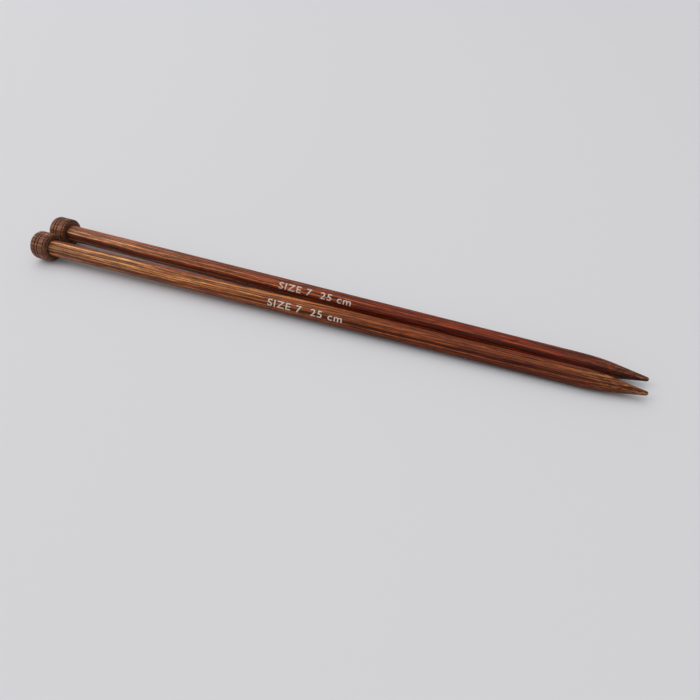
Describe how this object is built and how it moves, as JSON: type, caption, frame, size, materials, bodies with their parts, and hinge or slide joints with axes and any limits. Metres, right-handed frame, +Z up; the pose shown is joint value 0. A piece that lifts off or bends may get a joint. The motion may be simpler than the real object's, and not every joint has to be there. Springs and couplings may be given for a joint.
{
  "type": "straight knitting needles",
  "caption": "Pair of straight single-pointed knitting needles in laminated wood, each a round shaft with a tapered point and a turned, grooved end cap.",
  "frame": {"origin": "on the surface the needles lie on, under the middle of the pair's bounding box", "axes": "+X along the pair from the caps to the points, +Y across from the near needle to the far one, +Z up"},
  "size_m": [0.254, 0.0244, 0.0121],
  "materials": {
    "near_shaft_wood": "dyed laminated birch with a satin lacquer, orange tan with brown lines, and a pale printed size mark",
    "near_cap_wood": "dyed laminated birch with a satin lacquer, greyer brown",
    "far_shaft_wood": "dyed laminated birch with a satin lacquer, red brown with dark lines, and a pale printed size mark",
    "far_cap_wood": "dyed laminated birch with a satin lacquer, greyer brown"
  },
  "bodies": {
    "near_needle": {"near_shaft": "near_shaft_wood", "near_cap": "near_cap_wood"},
    "far_needle": {"far_shaft": "far_shaft_wood", "far_cap": "far_cap_wood"}
  },
  "joints": [
    {"name": "far_needle_lift", "type": "slide", "parent": "near_needle", "child": "far_needle", "axis": [0, 0, 1], "range_m": [0, 0.06]}
  ]
}
